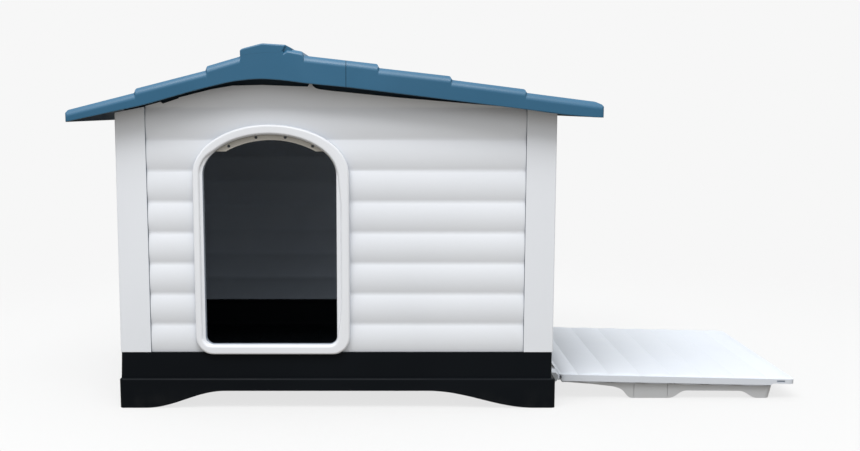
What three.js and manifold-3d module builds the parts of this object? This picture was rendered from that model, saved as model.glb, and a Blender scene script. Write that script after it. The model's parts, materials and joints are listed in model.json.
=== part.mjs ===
// Outdoor dog kennel: black tub base, white log-pattern walls with an arched doorway, a blue ridged roof
// in two halves, and a side wall that folds down into a terrace on four short feet.
// Millimetres, +Z up. The design frame has its zero at the middle of the body's width, on the front wall
// plane and on the ground. +X runs towards the terrace and +Y runs from the front wall to the back wall.
import * as THREE from "three";
import { mergeVertices } from "three/addons/utils/BufferGeometryUtils.js";
import Module from "manifold-3d";

const wasm = await Module();
wasm.setup();

// ---- driving dimensions ----
const GAP = 0.3; // air between pieces that touch
const WALL = 3; // thickness of the walls, the posts and the terrace
const BODY_HALF = 465; // half the width over the corner posts
const BODY_DEPTH = 742; // front wall plane to back wall plane
const LOG_PITCH = 65.9; // height of one log course
const LOG_BULGE = 7; // how far a log stands out from its crease
const LOG_CREST = 2; // the logs' crest sits this far behind the posts' faces
const LOG_STEPS = 6; // facets across one log

const BASE_TOP = 121;
const BASE_SKIN = 4;
const BASE_FLANGE = 18; // inward flange that the walls stand on
const FOOT_PAD = 40; // square pad inside each foot
const BASE_LEDGE = 64.5; // top of the wider skirt
const BAND_HALF = 463.5; // half width of the band above the ledge
const SKIRT_HALF = 471; // half width of the skirt below the ledge
const SKIRT_OUT = 8; // skirt in front of the wall plane
const ARCH_TOP = 37.5; // height of the arches between the feet
const FLOOR_TOP = 47;
const WALL_FOOT = BASE_TOP + GAP;

const POST_FRONT = 63.5; // width of a corner post on the front and back faces
const POST_SIDE = 68; // width of a corner post on the side faces
const PANEL_EDGE = BODY_HALF - POST_FRONT - 1; // the front panel stops 1 mm short of the posts

const ROOF_LEFT = -556.7;
const ROOF_RIGHT = 554.6;
const ROOF_FRONT = -47;
const ROOF_BACK = BODY_DEPTH + 47;
const ROOF_SKIN = 4;
const ROOF_SEAM = 23; // where the two halves of the roof meet
const FASCIA = 5; // thickness of the boards that hang round the roof's edge

const DOOR_MIDDLE = -141;
const DOOR_HALF = 141;
const DOOR_SILL = 143;
const ARCH_SPRING = 503; // height where the door's sides turn into the arch
const DOOR_RISE = 87; // height of the arch above that
const DOOR_CORNER = 17; // radius of the lower corners
const RING = 19.5; // width of the raised ring round the door
const SLEEVE_BACK = 13; // how far the door's sleeve reaches inside
const RING_OUT = 9; // how far the ring stands in front of the wall plane

const HINGE_X = 478.5;
const HINGE_Z = 48.5;
const TERRACE_FRONT = 75;
const TERRACE_BACK = BODY_DEPTH - 75;
const TERRACE_START = 11.5; // hinge axis to the panel's edge
const TERRACE_CREASE = 54.5; // hinge axis to the first crease between logs
const TERRACE_BORDER = 6; // flat strip between the panel's edge and the first log
const TERRACE_END = 537.8; // hinge axis to the panel's outer edge
const TERRACE_TOP = 6.9; // height of the rim's top face above the hinge axis
const TERRACE_RIM = 14; // depth of the rim
const TERRACE_SLOPE = 1.235; // degrees that the open terrace falls towards its outer edge
const TERRACE_PITCH = 71; // width of one log course on the terrace
const TERRACE_LIP = 57; // strip beyond the feet, with a shallower rim
const COVER = 3; // thickness of the terrace's outer skin
const LEG_INSET = 8; // the leg frame stands this far inside the rim

// ---- colours ----
const WHITE = { color: 0xe9ebef, roughness: 0.45, metalness: 0 };
const BLUE = { color: 0x3e6c8a, roughness: 0.5, metalness: 0 };
const BLACK = { color: 0x10161c, roughness: 0.5, metalness: 0 };
const BEIGE = { color: 0xb9b2a6, roughness: 0.6, metalness: 0 };
const GREY = { color: 0xa9adb3, roughness: 0.5, metalness: 0 };
const STEEL = { color: 0x9a9da1, roughness: 0.35, metalness: 1 };

// ---- solids ----
function solidOf(geometry) {
  const bare = geometry.clone();
  bare.deleteAttribute("normal");
  bare.deleteAttribute("uv");
  const merged = mergeVertices(bare, 1e-4);
  return new wasm.Manifold(
    new wasm.Mesh({
      numProp: 3,
      vertProperties: merged.attributes.position.array,
      triVerts: new Uint32Array(merged.index.array),
    }),
  );
}

function geometryOf(solid) {
  const mesh = solid.getMesh();
  const geometry = new THREE.BufferGeometry();
  geometry.setAttribute("position", new THREE.BufferAttribute(mesh.vertProperties, mesh.numProp));
  geometry.setIndex(new THREE.BufferAttribute(mesh.triVerts, 1));
  return geometry;
}

function extrude(points, depth) {
  const shape = new THREE.Shape(points.map(([a, b]) => new THREE.Vector2(a, b)));
  return new THREE.ExtrudeGeometry(shape, { depth, bevelEnabled: false });
}

// An outline in X and Z, swept from y0 to y1.
function alongY(points, y0, y1) {
  return solidOf(extrude(points, y1 - y0).rotateX(Math.PI / 2).translate(0, y1, 0));
}

// An outline in Y and Z, swept from x0 to x1.
function alongX(points, x0, x1) {
  const turn = new THREE.Matrix4().makeBasis(
    new THREE.Vector3(0, 1, 0),
    new THREE.Vector3(0, 0, 1),
    new THREE.Vector3(1, 0, 0),
  );
  return solidOf(extrude(points, x1 - x0).applyMatrix4(turn).translate(x0, 0, 0));
}

// An outline in X and Y, swept from z0 to z1.
function alongZ(points, z0, z1) {
  return solidOf(extrude(points, z1 - z0).translate(0, 0, z0));
}

function box(x0, x1, y0, y1, z0, z1) {
  const geometry = new THREE.BoxGeometry(x1 - x0, y1 - y0, z1 - z0);
  return solidOf(geometry.translate((x0 + x1) / 2, (y0 + y1) / 2, (z0 + z1) / 2));
}

function unite(solids) {
  return solids.reduce((whole, piece) => whole.add(piece));
}

function cut(solid, ...tools) {
  return tools.reduce((rest, tool) => rest.subtract(tool), solid);
}

function mirrorDepth(solid) {
  return solid.mirror([0, 1, 0]).translate([0, BODY_DEPTH, 0]);
}

// ---- outlines ----
function arc(cx, cz, rx, rz, from, to, steps) {
  return Array.from({ length: steps + 1 }, (_, i) => {
    const angle = THREE.MathUtils.degToRad(from + ((to - from) * i) / steps);
    return [cx + rx * Math.cos(angle), cz + rz * Math.sin(angle)];
  });
}

function circle(cx, cz, radius, steps) {
  return arc(cx, cz, radius, radius, 0, 360, steps).slice(0, -1);
}

function roundedRectangle(x0, x1, y0, y1, r0, r1, steps) {
  return [
    ...arc(x1 - r1, y1 - r1, r1, r1, 0, 90, steps),
    ...arc(x0 + r0, y1 - r0, r0, r0, 90, 180, steps),
    ...arc(x0 + r0, y0 + r0, r0, r0, 180, 270, steps),
    ...arc(x1 - r1, y0 + r1, r1, r1, 270, 360, steps),
  ];
}

// One smooth S from (a0, b0) to (a1, b1), flat at both ends.
function sCurve(a0, b0, a1, b1, steps) {
  return Array.from({ length: steps + 1 }, (_, i) => {
    const t = i / steps;
    return [a0 + (a1 - a0) * t, b0 + (b1 - b0) * (1 - Math.cos(Math.PI * t)) / 2];
  });
}

// The doorway grown by `grow` on every side.
function doorOutline(grow) {
  const corner = DOOR_CORNER + grow;
  const left = DOOR_MIDDLE - DOOR_HALF - grow;
  const right = DOOR_MIDDLE + DOOR_HALF + grow;
  const foot = DOOR_SILL - grow;
  return [
    ...arc(DOOR_MIDDLE, ARCH_SPRING, DOOR_HALF + grow, DOOR_RISE + grow, 0, 180, 20),
    ...arc(left + corner, foot + corner, corner, corner, 180, 270, 5),
    ...arc(right - corner, foot + corner, corner, corner, 270, 360, 5),
  ];
}

// Points of the log courses from height z0 to z1, as [distance behind the crest plane, height].
function logFace(z0, z1) {
  const first = BASE_TOP - 5; // the lowest crease hides just below the top of the base
  const points = [];
  for (let z = first; z < z1; z += LOG_PITCH) {
    for (let i = 0; i < LOG_STEPS; i += 1) {
      const t = i / LOG_STEPS;
      const bulge = 1 - (2 * t - 1) ** 2;
      points.push([LOG_BULGE * (1 - bulge), z + LOG_PITCH * t]);
    }
  }
  return points;
}

// Closed outline of a log-pattern wall: [depth behind the post face, height].
function logOutline(z0, z1, thickness) {
  const face = logFace(z0, z1).map(([d, z]) => [LOG_CREST + d, z]);
  const inner = face.map(([d, z]) => [d + thickness, z]).reverse();
  return [...face, ...inner];
}

// ---- base ----
function archOutline(left, right, footLeft, footRight, runLeft, runRight) {
  return [
    [left + footLeft, -5],
    ...sCurve(left + footLeft, 0, left + footLeft + runLeft, ARCH_TOP, 8),
    ...sCurve(right - footRight - runRight, ARCH_TOP, right - footRight, 0, 8),
    [right - footRight, -5],
  ];
}

function baseTub() {
  const back = BODY_DEPTH + SKIRT_OUT;
  const skirt = box(-SKIRT_HALF, SKIRT_HALF, -SKIRT_OUT, back, 0, BASE_LEDGE);
  const band = box(-BAND_HALF, BAND_HALF, -0.5, BODY_DEPTH + 0.5, BASE_LEDGE - 1, BASE_TOP);
  const tubHalf = BAND_HALF - BASE_SKIN;
  const tub = box(-tubHalf, tubHalf, BASE_SKIN, BODY_DEPTH - BASE_SKIN, FLOOR_TOP, BASE_TOP - BASE_SKIN);
  const mouthHalf = BAND_HALF - BASE_FLANGE;
  const mouth = box(
    -mouthHalf,
    mouthHalf,
    BASE_FLANGE,
    BODY_DEPTH - BASE_FLANGE,
    FLOOR_TOP + 1,
    BASE_TOP + 5,
  );
  const underHalf = SKIRT_HALF - BASE_SKIN;
  const underFront = -SKIRT_OUT + BASE_SKIN;
  const underBack = back - BASE_SKIN;
  const under = box(-underHalf, underHalf, underFront, underBack, -5, FLOOR_TOP - WALL);
  const frontArch = alongY(archOutline(-SKIRT_HALF, SKIRT_HALF, 60, 45, 159, 230), -60, back + 60);
  const sideArch = alongX(archOutline(-SKIRT_OUT, back, 104, 104, 96, 96), -SKIRT_HALF - 60, SKIRT_HALF + 60);
  const shell = cut(unite([skirt, band]), tub, mouth, under, frontArch, sideArch);
  const pads = [-1, 1].flatMap((side) =>
    [underFront + FOOT_PAD / 2 - 1, underBack - FOOT_PAD / 2 + 1].map((y) => {
      const x = side * (underHalf - FOOT_PAD / 2 + 1);
      const half = FOOT_PAD / 2;
      return box(x - half, x + half, y - half, y + half, 0, FLOOR_TOP - 1);
    }),
  );
  return unite([shell, ...pads]);
}

// ---- walls ----
const NOTCH = [-367, -329];
function gableTop() {
  return [
    [464, 637],
    [397, 642],
    [337, 647],
    [134.5, 664],
    [-12, 678.6],
    [-47.4, 683],
    [-47.4, 692],
    [-55.7, 692],
    [-55.7, 686.9],
    [-62, 687],
    [-154, 690.4],
    [-217, 689],
    [-263, 681],
    [NOTCH[1], 663.5],
    [NOTCH[1] - 5, 655],
    [NOTCH[0] + 5, 648],
    [NOTCH[0], 654],
    [-402, 646],
    [-465, 633],
  ];
}

function gableOutline(left, right) {
  const above = gableTop().filter(([x]) => x > left && x < right);
  return [
    [left, WALL_FOOT],
    [right, WALL_FOOT],
    [right, heightAt(right)],
    ...above,
    [left, heightAt(left)],
  ];
}

function heightAt(x) {
  const top = gableTop();
  const i = top.findIndex(([px]) => px <= x);
  const [x1, z1] = top[i];
  const [x0, z0] = top[Math.max(i - 1, 0)];
  return x0 === x1 ? z1 : z1 + ((z0 - z1) * (x - x1)) / (x0 - x1);
}

function gableWall() {
  const logs = alongX(logOutline(WALL_FOOT, 700, WALL), -PANEL_EDGE, PANEL_EDGE);
  return logs.intersect(alongY(gableOutline(-PANEL_EDGE, PANEL_EDGE), -30, 60));
}

function frontWall() {
  return cut(gableWall(), alongY(doorOutline(WALL + GAP), -30, 60));
}

const VENT = { x: -110, z: 632, half: 62, rise: 26, flange: 9 };
function backWall() {
  const hole = box(
    VENT.x - VENT.half - GAP,
    VENT.x + VENT.half + GAP,
    -30,
    60,
    VENT.z - VENT.rise - GAP,
    VENT.z + VENT.rise + GAP,
  );
  return mirrorDepth(cut(gableWall(), hole));
}

const EAVE_LEFT = 627; // top of the left wall
function leftWall() {
  const outline = logOutline(WALL_FOOT, 640, WALL).map(([d, z]) => [-BODY_HALF + d, z]);
  const wall = alongY(outline.reverse(), POST_SIDE + 1, BODY_DEPTH - POST_SIDE - 1);
  return wall.intersect(box(-500, -400, 0, BODY_DEPTH, WALL_FOOT, EAVE_LEFT));
}

const HEADER = { low: 560, high: 617, out: 461, lip: 16 };
function sideHeader() {
  const inner = HEADER.out - WALL;
  const outline = [
    [HEADER.out, HEADER.low],
    [HEADER.out, HEADER.high],
    [HEADER.out - HEADER.lip, HEADER.high],
    [HEADER.out - HEADER.lip, HEADER.high - WALL],
    [inner, HEADER.high - WALL],
    [inner, HEADER.low + WALL],
    [HEADER.out - HEADER.lip, HEADER.low + WALL],
    [HEADER.out - HEADER.lip, HEADER.low],
  ];
  return alongY(outline, POST_SIDE + 1, BODY_DEPTH - POST_SIDE - 1);
}

function cornerPost(side) {
  const out = BODY_HALF;
  const plan = [
    [-out, 0],
    [-out + POST_FRONT, 0],
    [-out + POST_FRONT, WALL],
    [-out + WALL, WALL],
    [-out + WALL, POST_SIDE],
    [-out, POST_SIDE],
  ];
  const mirrored = plan.map(([x, y]) => [-x, y]).reverse();
  const prism = alongZ(side < 0 ? plan : mirrored, WALL_FOOT, 700);
  const [outer, inner] = side < 0 ? [632, 646.5] : [637, 641.5];
  const slope = [
    [-out - 5, 100],
    [-out + POST_FRONT + 5, 100],
    [-out + POST_FRONT + 5, inner],
    [-out - 5, outer],
  ];
  const turned = slope.map(([x, z]) => [-x, z]).reverse();
  return prism.intersect(alongY(side < 0 ? slope : turned, -10, POST_SIDE + 10));
}

// ---- doorway ----
function doorFrame() {
  const ring = alongY(doorOutline(RING + 2), -RING_OUT, LOG_CREST + LOG_BULGE);
  const opening = alongY(doorOutline(0), -40, 60);
  const sleeve = alongY(doorOutline(WALL), -RING_OUT + 1, SLEEVE_BACK);
  const behind = logOutline(WALL_FOOT, 700, 60).map(([d, z]) => [d - GAP, z]);
  const wallSpace = cut(alongX(behind, -PANEL_EDGE, PANEL_EDGE), alongY(doorOutline(WALL), -40, 90));
  const baseSpace = box(-SKIRT_HALF, SKIRT_HALF, -0.5 - GAP, 60, 0, WALL_FOOT);
  return cut(unite([ring, sleeve]), opening, wallSpace, baseSpace);
}

const LINTEL = { low: 552, tip: 111, half: 95, rise: 24, front: 3, back: 7 };
function doorLintel() {
  const x = DOOR_MIDDLE + 3;
  const radius = (LINTEL.half ** 2 + LINTEL.rise ** 2) / (2 * LINTEL.rise);
  const turn = THREE.MathUtils.radToDeg(Math.asin(LINTEL.half / radius));
  const lower = arc(x, LINTEL.low + LINTEL.rise - radius, radius, radius, 90 - turn, 90 + turn, 14);
  const outline = [
    ...lower,
    [x - LINTEL.tip - 40, LINTEL.low],
    [x - LINTEL.tip - 40, 620],
    [x + LINTEL.tip + 40, 620],
    [x + LINTEL.tip + 40, LINTEL.low],
  ].reverse();
  const plate = alongY(outline, LINTEL.front, LINTEL.back);
  const inside = alongY(doorOutline(-GAP), LINTEL.front - 5, LINTEL.back + 5);
  const holes = [-88.5, -31, 31, 88.5].map((dx) => {
    const z = Math.abs(dx) > 50 ? 563 : 581.5;
    return alongY(circle(x + dx, z, 2.6, 8), LINTEL.front - 5, LINTEL.back + 5);
  });
  return cut(plate.intersect(inside), ...holes);
}

// ---- roof ----
// Overlapping boards seen from the front: each course ends in a step.
const COURSES_LEFT = [
  [-552, 638.7],
  [-412.6, 673.7],
  [-410, 682.4],
  [-264.7, 719],
  [-262.6, 727.7],
  [-195.5, 747],
];
const COURSES_RIGHT = [
  [-64.5, 757],
  [-62, 749],
  [87.5, 732],
  [91, 724],
  [237, 707.6],
  [241, 700],
  [391, 681],
  [395, 673.7],
  [536.5, 655.6],
  [551, 649.5],
];
const FASCIA_LINE = [
  [ROOF_RIGHT, 623],
  [533, 623.6],
  [461, 630],
  [392, 640],
  [23, 685],
  [-55, 692],
  [-108, 699.3],
  [-157, 702.3],
  [-210, 697],
  [-257, 686],
  [-304.5, 674],
  [-392, 649],
  [ROOF_LEFT, 614],
];
const ROOF_EAVE_LEFT = 635; // top of the roof at its left end
const ROOF_EAVE_RIGHT = 645;
const RIDGE_SEAT = 750; // flat seat of the ridge cap
const RIDGE = { left: -193, right: -99 };

function roofOutline() {
  const top = [
    [ROOF_LEFT, ROOF_EAVE_LEFT],
    ...COURSES_LEFT,
    [RIDGE.left, RIDGE_SEAT],
    [RIDGE.right, RIDGE_SEAT],
    [RIDGE.right, 761],
    ...COURSES_RIGHT,
    [ROOF_RIGHT, ROOF_EAVE_RIGHT],
  ];
  return [...top.reverse(), ...FASCIA_LINE.slice().reverse()];
}

// The hollow follows the steps of the boards one skin below them.
function roofHollow() {
  const left = COURSES_LEFT.map(([x, z]) => [x + ROOF_SKIN, z - ROOF_SKIN]);
  const right = COURSES_RIGHT.slice(1).map(([x, z]) => [x - ROOF_SKIN, z - ROOF_SKIN]);
  const [eaveLeft, eaveRight] = [ROOF_LEFT + FASCIA, ROOF_RIGHT - FASCIA];
  return [
    [eaveLeft, 500],
    [eaveRight, 500],
    [eaveRight, ROOF_EAVE_RIGHT - ROOF_SKIN],
    ...right.reverse(),
    [RIDGE.left + ROOF_SKIN, RIDGE_SEAT - ROOF_SKIN],
    ...left.reverse(),
    [eaveLeft, ROOF_EAVE_LEFT - ROOF_SKIN],
  ];
}

// Ribs that hang inside the gables and stand on the eaves of the side walls.
function roofRibs() {
  const rib = 4;
  const front = LOG_CREST + LOG_BULGE + WALL + 6;
  const low = gableTop().map(([x, z]) => [x, z - 9]).filter(([x]) => Math.abs(x) < 440);
  const outline = [...low, [low.at(-1)[0], 800], [low[0][0], 800]].reverse();
  const gables = [front, BODY_DEPTH - front - rib].map((y) => alongY(outline, y, y + rib));
  const left = box(-462, -457, 80, BODY_DEPTH - 80, EAVE_LEFT + GAP, 800);
  const right = box(450, 455, 80, BODY_DEPTH - 80, HEADER.high + GAP, 800);
  return unite([...gables, left, right]);
}

function wholeRoof() {
  const solid = alongY(roofOutline(), ROOF_FRONT, ROOF_BACK);
  const hollow = alongY(roofHollow(), ROOF_FRONT + FASCIA, ROOF_BACK - FASCIA);
  const skin = alongY(roofOutline(), ROOF_FRONT + 1, ROOF_BACK - 1);
  return unite([cut(solid, hollow), roofRibs().intersect(skin)]);
}

function roofHalf(side) {
  const seam = 0.5;
  const [x0, x1] = side < 0 ? [-600, ROOF_SEAM - seam] : [ROOF_SEAM + seam, 600];
  const keep = box(x0, x1, -100, 900, 500, 800);
  return wholeRoof().intersect(keep);
}

function ridgeCap() {
  const outline = [
    [RIDGE.left - 0.4, RIDGE_SEAT + GAP],
    [RIDGE.right - GAP, RIDGE_SEAT + GAP],
    [RIDGE.right - GAP, 770.4],
    [-150, 773.6],
    [-187, 763],
    [-192, 761],
  ];
  return alongY(outline, ROOF_FRONT, ROOF_BACK);
}

// ---- rear vent ----
const VENT_SLOTS = 5;
const VENT_TRAVEL = 10; // half of the slot pitch, which closes every slot
function ventSlots(z0, z1, width, y0, y1, pitch) {
  return Array.from({ length: VENT_SLOTS }, (_, i) => {
    const x = VENT.x + (i - (VENT_SLOTS - 1) / 2) * pitch;
    return box(x - width / 2, x + width / 2, y0, y1, z0, z1);
  });
}

function ventGrille() {
  const outside = BODY_DEPTH + 2;
  const { x, z, half, rise, flange } = VENT;
  const [wide, high] = [half + flange, rise + flange];
  const plate = box(x - wide, x + wide, outside - 4, outside, z - high, z + high);
  const seat = BODY_DEPTH - LOG_CREST + GAP;
  const clear = box(x - 200, x + 200, BODY_DEPTH - 40, seat, z - 100, z + 100);
  const flangePlate = cut(plate, clear);
  const sleeve = box(x - half, x + half, BODY_DEPTH - 22, outside - 1, z - rise, z + rise);
  const cavity = box(x - half + 3, x + half - 3, BODY_DEPTH - 30, outside - 6, z - rise + 3, z + rise - 3);
  const lips = [-1, 1].map((s) => {
    const low = s < 0 ? z - rise + 2 : z + rise - 6;
    return box(x - half + 1, x + half - 1, BODY_DEPTH - 16, BODY_DEPTH - 13, low, low + 4);
  });
  const slots = ventSlots(z - rise + 8, z + rise - 8, 9, outside - 12, outside + 5, 20);
  return cut(unite([cut(unite([flangePlate, sleeve]), cavity), ...lips]), ...slots);
}

function ventShutter() {
  const { x, z, half, rise } = VENT;
  const y = BODY_DEPTH - 11;
  const plate = box(x - half + 3.5, x + half - 3.5 - VENT_TRAVEL, y, y + 4, z - rise + 3.5, z + rise - 3.5);
  const tab = box(x - 6, x + 6, y - 12, y + 1, z - 3, z + 3);
  const slots = ventSlots(z - rise + 8, z + rise - 8, 9, y - 20, y + 20, 20);
  const bridge = box(x - 12, x + 12, y, y + 4, z - 5, z + 5);
  return unite([cut(plate, ...slots), bridge, tab]);
}

// ---- terrace ----
// Everything here is drawn with the hinge axis at zero, X towards the outer edge and Z up; a group then
// puts it on the hinge and tilts it.
function terraceFace() {
  const low = TERRACE_TOP;
  const bulge = 4.5;
  const points = [[TERRACE_START, low]];
  const edges = [TERRACE_START + TERRACE_BORDER];
  for (let i = 0; i <= 6; i += 1) edges.push(TERRACE_CREASE + i * TERRACE_PITCH);
  edges.push(TERRACE_END);
  for (let k = 0; k + 1 < edges.length; k += 1) {
    for (let i = 0; i < LOG_STEPS; i += 1) {
      const t = i / LOG_STEPS;
      points.push([edges[k] + (edges[k + 1] - edges[k]) * t, low + bulge * (1 - (2 * t - 1) ** 2)]);
    }
  }
  points.push([TERRACE_END, low]);
  return points;
}

const LIP_START = TERRACE_END - TERRACE_LIP;
const BOSS_PLACES = [
  [60, TERRACE_FRONT + 40],
  [60, TERRACE_BACK - 40],
  [440, TERRACE_FRONT + 60],
  [440, TERRACE_BACK - 60],
];

function terracePanel() {
  const low = TERRACE_TOP - TERRACE_RIM;
  const lipLow = TERRACE_TOP - 10.5;
  const side = [
    [TERRACE_START, low],
    [LIP_START, low],
    [LIP_START + 8, lipLow],
    [TERRACE_END, lipLow],
    [TERRACE_END, TERRACE_TOP],
    [TERRACE_START, TERRACE_TOP],
  ];
  const outline = roundedRectangle(TERRACE_START, TERRACE_END, TERRACE_FRONT, TERRACE_BACK, 15, 12, 4);
  const rimBlock = alongY(side, TERRACE_FRONT, TERRACE_BACK);
  const logs = alongY(
    [...terraceFace(), [TERRACE_END, low + 8], [TERRACE_START, low + 8]].reverse(),
    TERRACE_FRONT + 3,
    TERRACE_BACK - 3,
  );
  const body = unite([rimBlock, logs]).intersect(alongZ(outline, -40, 40));
  const hollow = box(
    TERRACE_START + WALL,
    LIP_START - WALL,
    TERRACE_FRONT + WALL,
    TERRACE_BACK - WALL,
    low - 5,
    TERRACE_TOP - WALL,
  );
  const lipHollow = box(
    LIP_START + 4,
    TERRACE_END - WALL,
    TERRACE_FRONT + WALL,
    TERRACE_BACK - WALL,
    low - 5,
    TERRACE_TOP - WALL,
  );
  const slots = [TERRACE_FRONT - 1, TERRACE_BACK - WALL - 1].map((y) =>
    box(498, 516, y, y + WALL + 2, TERRACE_TOP - 7, TERRACE_TOP - WALL),
  );
  const bosses = BOSS_PLACES.map(([x, y]) => alongZ(circle(x, y, 6, 10), low, TERRACE_TOP - 1));
  const bores = BOSS_PLACES.map(([x, y]) => alongZ(circle(x, y, 2.2, 8), low - 5, TERRACE_TOP - WALL));
  const arms = HINGE_PLACES.map((y) => {
    const bar = box(-1, TERRACE_START + 2, y - ARM_HALF, y + ARM_HALF, -4.5, TERRACE_TOP);
    const hub = alongY(circle(0, 0, 4.8, 12), y - ARM_HALF, y + ARM_HALF);
    const bore = alongY(circle(0, 0, 2.4, 12), y - ARM_HALF - 1, y + ARM_HALF + 1);
    return cut(unite([bar, hub]), bore);
  });
  const frame = cut(body, hollow, lipHollow, ...slots);
  return unite([cut(unite([frame, ...bosses]), ...bores), ...arms]);
}

function terraceCover() {
  const high = TERRACE_TOP - TERRACE_RIM - GAP;
  const x0 = TERRACE_START + 8;
  const x1 = LIP_START - 2;
  const creases = [];
  const groove = 2;
  for (let x = TERRACE_CREASE; x < x1 - 10; x += TERRACE_PITCH) {
    creases.push([x - 5, high - COVER], [x, high - COVER + groove], [x + 5, high - COVER]);
  }
  const outline = [[x0, high], [x0, high - COVER], ...creases, [x1, high - COVER], [x1, high]];
  const plate = alongY(outline, TERRACE_FRONT + 6, TERRACE_BACK - 6);
  const bores = BOSS_PLACES.map(([x, y]) => alongZ(circle(x, y, 2.2, 8), high - 10, high + 10));
  return cut(plate, ...bores);
}

function terraceScrew([x, y]) {
  const seat = TERRACE_TOP - TERRACE_RIM - GAP - COVER - GAP;
  const head = alongZ(circle(x, y, 4.2, 10), seat - 2, seat);
  const shank = alongZ(circle(x, y, 1.8, 8), seat - 1, seat + 12);
  return unite([head, shank]);
}

// Underside of the leg frame along its front and back rails, in the design frame with the feet on the ground.
const RAIL_FOOT = [
  [540, 33.9],
  [583, 31.7],
  [619, 26],
  [633, 20],
  [648.7, 0],
  [745.6, 0],
  [769.6, 17],
  [900.8, 16],
  [928.5, 0],
  [961, 0],
];
const LEG_LEAN = 8; // the frame's outer end leans out this far from the ground to its top

function tilt(x, z) {
  const angle = THREE.MathUtils.degToRad(TERRACE_SLOPE);
  const [c, sn] = [Math.cos(angle), Math.sin(angle)];
  return [HINGE_X + x * c + z * sn, HINGE_Z - x * sn + z * c];
}

function legFrame() {
  const skin = 5;
  const high = TERRACE_TOP - TERRACE_RIM - GAP - COVER - GAP;
  const y0 = TERRACE_FRONT + LEG_INSET;
  const y1 = TERRACE_BACK - LEG_INSET;
  const x0 = RAIL_FOOT[0][0];
  const foot = RAIL_FOOT[RAIL_FOOT.length - 1][0];
  const x1 = foot + LEG_LEAN;
  const top = [tilt(x1 - HINGE_X, high), tilt(x0 - HINGE_X, high)];
  const rail = [...RAIL_FOOT, [x1, top[0][1]], [x0, top[1][1]]];
  const block = alongY(rail, y0, y1);
  const slope = LEG_LEAN / top[0][1];
  const hollow = [
    [x0 - 50, -5],
    [foot - skin - 5 * slope, -5],
    [foot - skin + 60 * slope, 60],
    [x0 - 50, 60],
  ];
  const inside = alongY(hollow, y0 + skin, y1 - skin);
  const endArch = [
    [y0 + 60, -5],
    ...sCurve(y0 + 60, 0, y0 + 90, 16, 5),
    ...sCurve(y1 - 90, 16, y1 - 60, 0, 5),
    [y1 - 60, -5],
  ];
  const archway = alongX(endArch, foot - 30, foot + 30);
  const plan = roundedRectangle(x0 - 20, x1, y0, y1, 1, 12, 4);
  return cut(block, inside, archway).intersect(alongZ(plan, -5, 60));
}

// ---- hinges ----
const ARM_HALF = 28; // half the length of a terrace arm along the hinge axis
const EAR = 6; // thickness of a bracket's ear
const HINGE_PLACES = [TERRACE_FRONT + 36, TERRACE_BACK - 36];
function hingeBracket(y) {
  const face = SKIRT_HALF + GAP;
  const reach = ARM_HALF + 0.6;
  const outline = [
    [face, HINGE_Z - 14],
    [HINGE_X, HINGE_Z - 11],
    [HINGE_X + 6.5, HINGE_Z - 8.5],
    [HINGE_X + 9.5, HINGE_Z - 4],
    [HINGE_X + 9.5, HINGE_Z + 5.5],
    [HINGE_X + 5, HINGE_Z + 10],
    [face, HINGE_Z + 10.5],
  ];
  const ears = [y - reach - EAR, y + reach].map((y0) => alongY(outline, y0, y0 + EAR));
  const web = box(face, face + 2.7, y - reach - 1, y + reach + 1, HINGE_Z - 14, HINGE_Z - 6);
  const bore = alongY(circle(HINGE_X, HINGE_Z, 2.4, 12), y - 40, y + 40);
  return cut(unite([...ears, web]), bore);
}

function hingePin(y) {
  const half = ARM_HALF + EAR;
  return alongY(circle(HINGE_X, HINGE_Z, 2.1, 12), y - half, y + half);
}

function bracketScrew(y) {
  const face = SKIRT_HALF + GAP + 2.7 + GAP;
  return alongX(circle(y, HINGE_Z - 10, 2.6, 8), face, face + 1.2);
}

// ---- assembly ----
const kennel = new THREE.Group();
kennel.position.set(-(ROOF_LEFT + tilt(TERRACE_END, TERRACE_TOP)[0]) / 2, -BODY_DEPTH / 2, 0);

const terrace = new THREE.Group();
terrace.position.set(HINGE_X, 0, HINGE_Z);
terrace.rotation.y = THREE.MathUtils.degToRad(TERRACE_SLOPE);
kennel.add(terrace);

function add(group, name, solid, finish) {
  const mesh = new THREE.Mesh(geometryOf(solid), new THREE.MeshStandardMaterial(finish));
  mesh.name = name;
  group.add(mesh);
}

add(kennel, "base_tub", baseTub(), BLACK);
add(kennel, "front_wall", frontWall(), WHITE);
add(kennel, "back_wall", backWall(), WHITE);
add(kennel, "left_wall", leftWall(), WHITE);
add(kennel, "side_header", sideHeader(), WHITE);
add(kennel, "corner_post_front_left", cornerPost(-1), WHITE);
add(kennel, "corner_post_front_right", cornerPost(1), WHITE);
add(kennel, "corner_post_back_left", mirrorDepth(cornerPost(-1)), WHITE);
add(kennel, "corner_post_back_right", mirrorDepth(cornerPost(1)), WHITE);
add(kennel, "door_frame", doorFrame(), WHITE);
add(kennel, "door_lintel", doorLintel(), BEIGE);
add(kennel, "roof_left", roofHalf(-1), BLUE);
add(kennel, "roof_right", roofHalf(1), BLUE);
add(kennel, "ridge_cap", ridgeCap(), BLUE);
add(kennel, "vent_grille", ventGrille(), WHITE);
add(kennel, "vent_shutter", ventShutter(), GREY);

HINGE_PLACES.forEach((y, i) => {
  const place = ["front", "back"][i];
  add(kennel, `hinge_bracket_${place}`, hingeBracket(y), GREY);
  add(kennel, `hinge_pin_${place}`, hingePin(y), STEEL);
  add(kennel, `bracket_screw_${place}_1`, bracketScrew(y - 16), STEEL);
  add(kennel, `bracket_screw_${place}_2`, bracketScrew(y + 16), STEEL);
});

add(terrace, "terrace_panel", terracePanel(), WHITE);
add(terrace, "terrace_cover", terraceCover(), WHITE);
BOSS_PLACES.forEach((place, i) => add(terrace, `terrace_screw_${i + 1}`, terraceScrew(place), STEEL));
add(kennel, "terrace_leg_frame", legFrame(), WHITE);

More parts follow.
